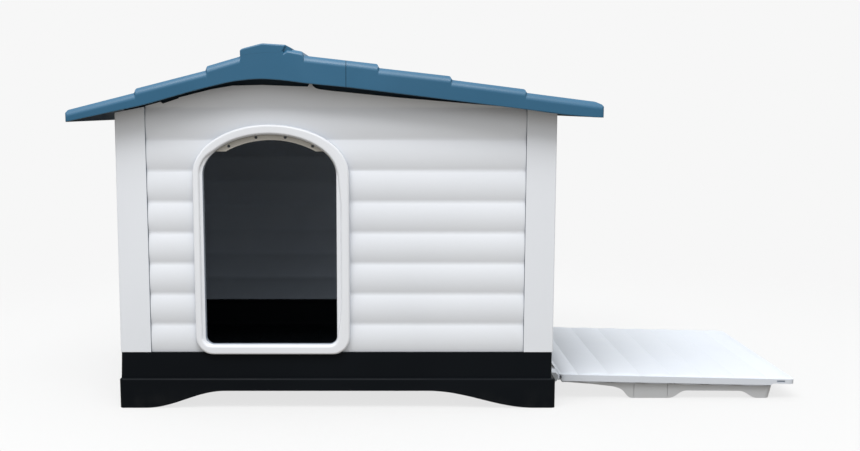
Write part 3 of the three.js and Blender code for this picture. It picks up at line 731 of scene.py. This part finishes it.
def edge_inset(x, z):
    """How far the roof's front face stands back: lower boards run under upper ones, and all are rounded."""
    if CAP_SEAT[0][0] <= x <= CAP_SEAT[-1][0] + 1:
        return 0.0
    if x < CAP_SEAT[0][0]:
        boards = pairs(COURSES_LEFT)
        noses = [ROOF_LEFT, COURSES_LEFT[1][0] + 1.3, COURSES_LEFT[3][0] + 1.3]
        toward = 1
    elif x < COURSES_RIGHT[0][0] - 1:
        return eased(height_on([CAP_SEAT[-1], *BLOCK, COURSES_RIGHT[0]], x) - z, BLOCK_REACH)
    else:
        boards = pairs(COURSES_RIGHT)
        noses = [COURSES_RIGHT[i][0] - 1.3 for i in (2, 4, 6)] + [ROOF_RIGHT]
        toward = -1
    insets = []
    for ((x0, z0), (x1, z1)), nose in zip(boards, noses):
        inside = (x - nose) * toward
        if inside > -1.6:
            below = z0 + (z1 - z0) * (x - x0) / (x1 - x0) - z
            end = END_RADIUS if nose in (ROOF_LEFT, ROOF_RIGHT) else NOSE_RADIUS
            insets.append(max(eased(below, EDGE_REACH), rounded(inside, end)))
    return min(insets)


def roof_columns(top):
    """Places along X for the roof's sections: close together beside every corner of the outline."""
    wanted = [x for x, _ in top]
    wanted.extend(ROOF_LEFT + 12 * i for i in range(int((ROOF_RIGHT - ROOF_LEFT) / 12)))
    for x, _ in ROOF_TOP:
        for step in (0.4, 0.8, 1.6, 3.2, 6):
            wanted.extend((x - step, x + step))
    wanted = sorted(x for x in wanted if ROOF_LEFT <= x <= ROOF_RIGHT)
    columns = [wanted[0]]
    for x in wanted:
        if x - columns[-1] > 0.25:
            columns.append(x)
    columns[-1] = ROOF_RIGHT
    return columns


def roof_body():
    top = soften(ROOF_TOP, 2.5, 3)
    low = soften(FASCIA_LINE, 30, 6)
    depths = (0, 0.25, 0.8, 1.7, 3, 4.8, 7, 9.6, 12.4, EDGE_REACH)
    rings = []
    for x in roof_columns(top):
        high, foot = height_on(top, x), height_on(low, x)
        heights = [high - depth for depth in depths]
        heights.extend(heights[-1] - share * (heights[-1] - foot - 2) for share in (0.15, 0.5))
        front = [(edge_inset(x, z), z) for z in heights]
        under = edge_inset(x, foot + 2)
        front.extend(((under, foot + 2), (under + 0.6, foot + 0.6), (under + 2, foot)))
        ring = [(x, ROOF_FRONT + y, z) for y, z in front]
        ring.extend((x, ROOF_BACK - y, z) for y, z in reversed(front))
        rings.append(ring)
    return cut(loft(rings), along_y(roof_hollow(), ROOF_FRONT + FASCIA, ROOF_BACK - FASCIA))


def roof_hollow():
    left = [(x + ROOF_SKIN, z - ROOF_SKIN) for x, z in COURSES_LEFT]
    right = [(x - ROOF_SKIN, z - ROOF_SKIN) for x, z in COURSES_RIGHT]
    return [
        (ROOF_LEFT + FASCIA, 500), (ROOF_LEFT + FASCIA, EAVE_LEFT[1] - 2), *left,
        (CAP_SEAT[0][0] + ROOF_SKIN, 745), *right,
        (ROOF_RIGHT - FASCIA, EAVE_RIGHT[1] - ROOF_SKIN), (ROOF_RIGHT - FASCIA, 500),
    ]


def board_joints():
    """Narrow grooves between the boards of each course, staggered from course to course."""
    courses = [*pairs(COURSES_LEFT), *pairs(COURSES_RIGHT)]
    margin, boards, half, deep = 20, 7, 1.7, 2.2
    length = ROOF_BACK - ROOF_FRONT - 2 * margin
    grooves = []
    for k, ((x0, z0), (x1, z1)) in enumerate(courses):
        for i in range(1, boards + 1):
            y = ROOF_FRONT + margin + length * (i - (0.5 if k % 2 else 0.0)) / boards
            if y > ROOF_BACK - margin - 20:
                continue
            rings = []
            for x, z in ((x0 - 1, z0), (x1 + 1, z1)):
                rings.append([(x, y - half, z + 1), (x, y, z - deep), (x, y + half, z + 1)])
            grooves.append(loft(rings))
    return grooves


def merged(meshes):
    """Several separate solids in one bmesh."""
    whole = bmesh.new()
    for mesh in meshes:
        data = bpy.data.meshes.new("scratch")
        mesh.to_mesh(data)
        mesh.free()
        whole.from_mesh(data)
        bpy.data.meshes.remove(data)
    return whole


def build_roof():
    seam = 0.5
    body = cut(roof_body(), merged(board_joints()))
    halves = (
        ("roof_left", ROOF_LEFT - 50, ROOF_SEAM - seam),
        ("roof_right", ROOF_SEAM + seam, ROOF_RIGHT + 50),
    )

    # Faces inside the roof's hollow, away from the eave ends and the rounded edges, take the painted shade
    # blue.
    def roof_painted_shade_faces(centre, normal):
        depth = min(centre.y - ROOF_FRONT, ROOF_BACK - centre.y)
        below = height_on(ROOF_TOP, centre.x) - centre.z
        turned_out = normal.z > 0.1 or normal.x < -0.5
        rounding = depth < EDGE_REACH + 1 and below < EDGE_REACH + 2 and turned_out
        between_ends = ROOF_LEFT + 1 < centre.x < ROOF_RIGHT - 1
        return depth > FASCIA - 1 and below > 2.6 and between_ends and not rounding

    for node, x0, x1 in halves:
        half = keep_inside(body.copy(), box(x0, x1, ROOF_FRONT - 50, ROOF_BACK + 50, 500, 800))
        place(f"{node}_boards", half, "kennel", [node], [BLUE, BLUE_PAINTED_SHADE], sharp=40,
              inner=roof_painted_shade_faces)
    body.free()
    build_roof_ribs()
    build_ridge_cap()


def build_ridge_cap():
    """The cap on the peak: its lower edge follows the seat, and its right end slopes down to the block."""
    face = [(x, z + 0.1) for x, z in CAP_SEAT]
    face.extend(((-98.3, 770.6), (-148.4, 773.7), (-187, 763.8), (-193.6, 761)))
    cap = along_y(face, ROOF_FRONT, ROOF_BACK)
    weights = cap.edges.layers.float.new("bevel_weight_edge")
    for edge in cap.edges:
        middle = (edge.verts[0].co + edge.verts[1].co) / 2
        edge[weights] = 1.0 if middle.z > height_on(CAP_SEAT, middle.x) + 1.5 else 0.0
    cap = fillet(cap, 4, 5, by_weight=True)
    wedge = along_y([(-108, 758), (-100, 770.2), (-87.3, 763.6), (-90, 757), (-104, 757)],
                    ROOF_FRONT + 4, ROOF_BACK - 4)
    place("ridge_strip", cap, "kennel", ["ridge_cap"], [BLUE], sharp=40)
    place("ridge_end_slope", fillet(wedge, 0.8, 2), "kennel", [], [BLUE])


def build_roof_ribs():
    """Ribs under the roof that drop inside the walls; they take the painted shade blue, dark as the shade
    under the roof.
    """
    rib, front = 4, LOG_CREST + LOG_BULGE + WALL + 6
    low = [(x, z - 9) for x, z in GABLE_TOP if abs(x) < 440]
    outline = [*low, (430, 663), (-60, 743), (-150, 744), (-250, 717), (-430, 662)]
    ribs = [along_y(outline, y, y + rib) for y in (front, BODY_DEPTH - front - rib)]
    eave = node_box("left_wall")[1].z + 0.3
    header = node_box("side_header")[1].z + 0.3
    ribs.append(box(-462, -457, 80, BODY_DEPTH - 80, eave, 655))
    ribs.append(box(450, 455, 80, BODY_DEPTH - 80, header, 657))
    place("roof_ribs", merged(ribs), "kennel", [], [BLUE_PAINTED_SHADE])


# ---- rear vent ----
def build_vent():
    low, high = node_box("vent_grille")
    slots, width, pitch = 5, 9, 20
    x, z = (low.x + high.x) / 2, (low.z + high.z) / 2
    x0, x1, z0, z1 = low.x + VENT_FLANGE, high.x - VENT_FLANGE, low.z + VENT_FLANGE, high.z - VENT_FLANGE
    plan = rounded_rectangle(low.x, high.x, low.z, high.z, 7)
    plate = along_y(plan, BODY_DEPTH - LOG_CREST + 0.3, high.y)
    sleeve = box(x0, x1, low.y, high.y - 1, z0, z1)
    cavity = box(x0 + WALL, x1 - WALL, low.y - 8, high.y - 6, z0 + WALL, z1 - WALL)
    openings = []
    for i in range(slots):
        middle = x + (i - (slots - 1) / 2) * pitch
        slot = rounded_rectangle(middle - width / 2, middle + width / 2, z - 18, z + 18, 4.2)
        openings.append(along_y(slot, high.y - 14, high.y + 5))
    grille = fillet(cut(join(plate, sleeve), cavity, *openings), 0.8, 2)
    place("vent_plate", grille, "kennel", ["vent_grille"], [FRAME_WHITE])


# ---- terrace ----
def terrace_edges():
    inner = [TERRACE_CREASE + k * TERRACE_PITCH for k in range(7)]
    return [TERRACE_START + TERRACE_BORDER, *inner, TERRACE_END]


def terrace_logs():
    """Raised rounded courses across the panel, each ending in a dome at the front and back rims."""
    border, dome = 4.0, 11.0  # the rim beside the courses and the length of a course's rounded end
    across, steps = 16, 8
    last = terrace_edges()[-1]
    logs = []
    for x0, x1 in zip(terrace_edges(), terrace_edges()[1:]):
        end = x1 - 3 if x1 == last else x1
        rings = []
        rows = []
        for i in range(steps + 1):
            angle = math.pi / 2 * i / steps
            rows.append((dome * (1 - math.cos(angle)), math.sin(angle)))
        depths = [(TERRACE_FRONT + border + d, share) for d, share in rows]
        depths.extend((TERRACE_BACK - border - d, share) for d, share in reversed(rows))
        for y, share in depths:
            upper = []
            for i in range(across + 1):
                t = i / across
                height = TERRACE_BULGE * (1 - (2 * t - 1) ** 2) * max(share, 0.02)
                upper.append((x0 + (end - x0) * t, y, TERRACE_TOP + height))
            rings.append([*upper, (end - 0.2, y, TERRACE_TOP - 2), (x0 + 0.2, y, TERRACE_TOP - 2)])
        logs.append(loft(rings))
    return logs


RIM_SLOT = (498, 516)  # the small slots in the tray's front and back faces


def rim_block():
    """The tray of the terrace, open underneath, with a shallower lip beyond the feet."""
    low = TERRACE_TOP - TERRACE_RIM
    lip_low = TERRACE_TOP - 10.5
    lip_start = TERRACE_END - TERRACE_LIP
    side = [
        (TERRACE_START, low), (lip_start + 4, low), (lip_start + 9, lip_low), (TERRACE_END, lip_low),
        (TERRACE_END, TERRACE_TOP), (TERRACE_START, TERRACE_TOP),
    ]
    block = along_y(side, TERRACE_FRONT, TERRACE_BACK)
    plan = [
        *arc(TERRACE_END - 12, TERRACE_BACK - 12, 12, 12, 0, 90, 8),
        *arc(TERRACE_START + 15, TERRACE_BACK - 15, 15, 15, 90, 180, 8),
        *arc(TERRACE_START + 15, TERRACE_FRONT + 15, 15, 15, 180, 270, 8),
        *arc(TERRACE_END - 12, TERRACE_FRONT + 12, 12, 12, 270, 360, 8),
    ]
    block = keep_inside(block, along_z(plan, -40, 40))
    y0, y1 = TERRACE_FRONT + WALL, TERRACE_BACK - WALL
    hollow = box(TERRACE_START + WALL, lip_start - WALL, y0, y1, low - 5, TERRACE_TOP - WALL)
    lip_hollow = box(lip_start + 4, TERRACE_END - WALL, y0, y1, low - 5, TERRACE_TOP - WALL)
    slots = [box(*RIM_SLOT, y, y + WALL + 2, TERRACE_TOP - 7, TERRACE_TOP - WALL)
             for y in (TERRACE_FRONT - 1, TERRACE_BACK - WALL - 1)]
    return fillet(cut(block, hollow, lip_hollow, *slots), 1.3)


def hinge_places():
    pins = [node_box(f"hinge_pin_{end}") for end in ("front", "back")]
    return [(low.y + high.y) / 2 for low, high in pins]


def build_terrace_panel():
    arms = []
    for y in hinge_places():
        bar = box(-1, TERRACE_START + 2, y - ARM_HALF, y + ARM_HALF, -4.5, TERRACE_TOP)
        hub = along_y(circle(0, 0, 4.8, 24), y - ARM_HALF, y + ARM_HALF)
        bore = along_y(circle(0, 0, 2.4, 16), y - ARM_HALF - 1, y + ARM_HALF + 1)
        arms.append(cut(join(bar, hub), bore))
    lip, (x0, x1) = WALL + 0.2, RIM_SLOT
    # Backs behind the rim's slots in the painted shade white, standing in for the shade inside the tray.
    backs = [box(x0 - 2, x1 + 2, y, y + 1, TERRACE_TOP - 7.5, TERRACE_TOP - 2.5)
             for y in (TERRACE_FRONT + lip, TERRACE_BACK - lip - 1)]
    place("terrace_slot_backs", on_terrace(merged(backs)), "terrace", [], [WHITE_PAINTED_SHADE])
    tray = merged([rim_block(), *arms])
    place("terrace_tray", on_terrace(tray), "terrace", ["terrace_panel"], [TERRACE_WHITE_PAINTED_SHADE])
    place("terrace_logs", on_terrace(merged(terrace_logs())), "terrace", [], [TERRACE_WHITE_PAINTED_SHADE],
          sharp=50)


def build_terrace_cover():
    """The outer skin: its face has the log courses that show when the side is closed."""
    high = TERRACE_TOP - TERRACE_RIM - 0.3
    x0, x1 = TERRACE_START + 8, TERRACE_END - TERRACE_LIP - 2
    steps = 90
    face = []
    for i in range(steps + 1):
        x = x0 + (x1 - x0) * i / steps
        t = ((x - TERRACE_CREASE) / TERRACE_PITCH) % 1
        face.append((x, high - 1.2 - 2.8 * (1 - (2 * t - 1) ** 2)))
    outline = [(x0, high), *face, (x1, high)]
    skin = along_y(outline, TERRACE_FRONT + 6, TERRACE_BACK - 6)
    place("terrace_outer_logs", on_terrace(skin), "terrace", ["terrace_cover"], [TERRACE_WHITE_PAINTED_SHADE])


END_FOOT, END_RUN, END_ARCH = 60, 30, 16  # the arch in the leg frame's outer end
RAIL_FOOT = [
    (501, 37), (565, 32), (615, 26.2), (633, 20), (648.7, 0), (745.6, 0), (769.6, 17), (903, 16), (928.5, 0),
    (963, 0),
]
LEG_LEAN = 6.5


def tilt(x, z):
    c, s = math.cos(TERRACE_SLOPE), math.sin(TERRACE_SLOPE)
    return HINGE.x + x * c + z * s, HINGE.z - x * s + z * c


def leg_plan(x0, x1, y0, y1, z):
    """The leg frame's outline from above: its outer end leans out with height."""
    end = x1 + LEG_LEAN * z / 27
    return [
        (x0, y0, z), *((x, y, z) for x, y in arc(end - 12, y0 + 12, 12, 12, 270, 360, 8)),
        *((x, y, z) for x, y in arc(end - 12, y1 - 12, 12, 12, 0, 90, 8)), (x0, y1, z),
    ]


def build_leg_frame():
    skin = 5
    high = TERRACE_TOP - TERRACE_RIM - 0.3 - WALL - 0.3
    low, top = node_box("terrace_leg_frame")
    y0, y1, x0, x1 = low.y, top.y, RAIL_FOOT[0][0], RAIL_FOOT[-1][0]
    upper = [tilt(x1 + 20 - HINGE.x, high), tilt(x0 - HINGE.x, high)]
    foot = soften([*RAIL_FOOT[:-1], (x1 + 20, 0)], 9, 5)
    rail = along_y([*foot, (x1 + 20, upper[0][1]), (x0, upper[1][1])], y0 - 5, y1 + 5)
    body = loft([leg_plan(x0, x1, y0, y1, z) for z in (-3, 60)])
    inner = loft([leg_plan(x0 - 50, x1 - skin, y0 + skin, y1 - skin, z) for z in (-6, 66)])
    a0, a1 = y0 + END_FOOT, y1 - END_FOOT
    end_arch = [
        (a0 - 0.5, -5), *s_curve(a0, 0, a0 + END_RUN, END_ARCH, 12),
        *s_curve(a1 - END_RUN, END_ARCH, a1, 0, 12), (a1 + 0.5, -5),
    ]
    grooves = [box(x - 0.7, x + 0.7, y - 1.6, y + 1.6, 3, 50) for x in (659.5, 734.7) for y in (y0, y1)]
    skirt = cut(keep_inside(body, rail), inner, along_x(end_arch, x1 - 30, x1 + 30), merged(grooves))
    place("leg_frame_skirt", fillet(skirt, 1.2, 3, 50), "terrace", ["terrace_leg_frame"], [LEG_WHITE_PAINTED_SHADE])


# ---- small fittings ----
def dress(node, body, material, width):
    """The CAD node's own shape with rounded edges."""
    mesh = bmesh.new()
    mesh.from_mesh(frame["nodes"][node].data)
    bmesh.ops.transform(mesh, matrix=Matrix.Scale(1 / MM, 4) @ Matrix.Translation(-ORIGIN), verts=mesh.verts)
    bmesh.ops.remove_doubles(mesh, verts=mesh.verts, dist=0.001)
    bmesh.ops.dissolve_limit(mesh, angle_limit=math.radians(1), verts=mesh.verts, edges=mesh.edges)
    place(f"{node}_finished", fillet(mesh, width, 2), body, [node], [material])


def build_fittings():
    for end in ("front", "back"):
        dress(f"hinge_bracket_{end}", "kennel", GREY, 0.8)
        dress(f"hinge_pin_{end}", "kennel", STEEL, 0.4)
        for i in (1, 2):
            dress(f"bracket_screw_{end}_{i}", "kennel", STEEL, 0.4)
    for i in range(1, 5):
        dress(f"terrace_screw_{i}", "terrace", STEEL, 0.5)
    dress("vent_shutter", "vent_slide", GREY, 0.5)


# ---- stage, lights and camera ----
BACKDROP = 0.930
FLOOR_COLOUR = (0.74, 0.74, 0.74)
FLOOR_SHARE = 0.2  # how much the floor covers the backdrop under the object
FADE_FROM, FADE_TO = 0.9, 2.6  # metres from the middle
SKY = (  # [height from straight down to straight up, colour]
    (0.0, (0.23, 0.215, 0.19)),
    (0.47, (0.25, 0.235, 0.21)),
    (0.54, (0.38, 0.38, 0.38)),
    (1.0, (0.98, 1.0, 1.0)),
)
SKY_POWER = 1.5
KEY_PLACE, KEY_TARGET = (-0.6, -1.9, 3.4), (0.0, 0, 0.3)
KEY_SIZE, KEY_POWER = (2.6, 1.4), 84
CAMERA_PLACE = (111, -2553.2, 642.6)
CAMERA_DOWN = 8.266  # degrees below level
CAMERA_LENS = 50.47
CAMERA_SHIFT = (0.0479, 0.0671)


def build_stage():
    """A pale floor that thins out with distance, so that it meets the backdrop without a line."""
    data = bpy.data.meshes.new("floor")
    size = 40
    corners = [(-size, -size, 0), (size, -size, 0), (size, size, 0), (-size, size, 0)]
    data.from_pydata(corners, [], [(0, 1, 2, 3)])
    floor = bpy.data.objects.new("floor", data)
    bpy.context.scene.collection.objects.link(floor)
    floor.location.z = -0.0005
    floor.visible_diffuse = False
    floor.visible_glossy = False
    material = bpy.data.materials.new("floor_pale")
    material.use_nodes = True
    nodes, links = material.node_tree.nodes, material.node_tree.links
    shader = nodes["Principled BSDF"]
    shader.inputs["Base Color"].default_value = (*FLOOR_COLOUR, 1)
    shader.inputs["Roughness"].default_value = 1.0
    shader.inputs["Specular IOR Level"].default_value = 0.0
    where = nodes.new("ShaderNodeTexCoord")
    away = nodes.new("ShaderNodeVectorMath")
    away.operation = "LENGTH"
    links.new(where.outputs["Object"], away.inputs[0])
    fade = nodes.new("ShaderNodeMapRange")
    fade.interpolation_type = "SMOOTHSTEP"
    set_range(fade, FADE_FROM, FADE_TO, FLOOR_SHARE, 0)
    links.new(away.outputs["Value"], fade.inputs["Value"])
    links.new(fade.outputs["Result"], shader.inputs["Alpha"])
    data.materials.append(material)


def area_light(name, place_at, target, size, power):
    data = bpy.data.lights.new(name, "AREA")
    data.shape = "RECTANGLE"
    data.size, data.size_y = size
    data.energy = power
    lamp = bpy.data.objects.new(name, data)
    lamp.location = place_at
    lamp.rotation_euler = (Vector(target) - Vector(place_at)).to_track_quat("-Z", "Y").to_euler()
    bpy.context.scene.collection.objects.link(lamp)


def build_lights():
    """Soft studio light from above that falls off towards the ground; the backdrop stays one even tone."""
    world = bpy.data.worlds.new("studio")
    bpy.context.scene.world = world
    world.use_nodes = True
    nodes, links = world.node_tree.nodes, world.node_tree.links
    sky = nodes["Background"]
    sky.inputs["Strength"].default_value = SKY_POWER
    where = nodes.new("ShaderNodeTexCoord")
    split = nodes.new("ShaderNodeSeparateXYZ")
    links.new(where.outputs["Generated"], split.inputs["Vector"])
    height = nodes.new("ShaderNodeMapRange")
    height.inputs["From Min"].default_value = -1.0
    links.new(split.outputs["Z"], height.inputs["Value"])
    ramp = nodes.new("ShaderNodeValToRGB")
    while len(ramp.color_ramp.elements) < len(SKY):
        ramp.color_ramp.elements.new(0.5)
    for element, (position, colour) in zip(ramp.color_ramp.elements, SKY):
        element.position = position
        element.color = (*colour, 1)
    links.new(height.outputs["Result"], ramp.inputs["Fac"])
    links.new(ramp.outputs["Color"], sky.inputs["Color"])
    backdrop = nodes.new("ShaderNodeBackground")
    backdrop.inputs["Color"].default_value = (BACKDROP, BACKDROP, BACKDROP, 1)
    path = nodes.new("ShaderNodeLightPath")
    mix = nodes.new("ShaderNodeMixShader")
    links.new(path.outputs["Is Camera Ray"], mix.inputs["Fac"])
    links.new(sky.outputs["Background"], mix.inputs[1])
    links.new(backdrop.outputs["Background"], mix.inputs[2])
    links.new(mix.outputs["Shader"], nodes["World Output"].inputs["Surface"])
    area_light("key", KEY_PLACE, KEY_TARGET, KEY_SIZE, KEY_POWER)
    view = bpy.context.scene.view_settings
    view.view_transform = "Standard"
    view.look = "None"


def build_camera():
    """The photograph's viewpoint: 2.55 m in front, 0.64 m high, looking 8.3 degrees down."""
    data = bpy.data.cameras.new("camera")
    data.sensor_width = 36
    data.lens = CAMERA_LENS
    data.shift_x, data.shift_y = CAMERA_SHIFT
    data.clip_end = 200
    camera = bpy.data.objects.new("camera", data)
    camera.location = ORIGIN + Vector(CAMERA_PLACE) * MM
    camera.rotation_euler = (math.radians(90 - CAMERA_DOWN), 0, 0)
    bpy.context.scene.collection.objects.link(camera)
    bpy.context.scene.camera = camera


build_base()
build_gable_walls()
build_seam_backs()
build_left_wall()
build_header()
build_posts()
build_door_frame()
build_lintel()
build_roof()
build_vent()
build_terrace_panel()
build_terrace_cover()
build_leg_frame()
build_fittings()
build_stage()
build_lights()
build_camera()
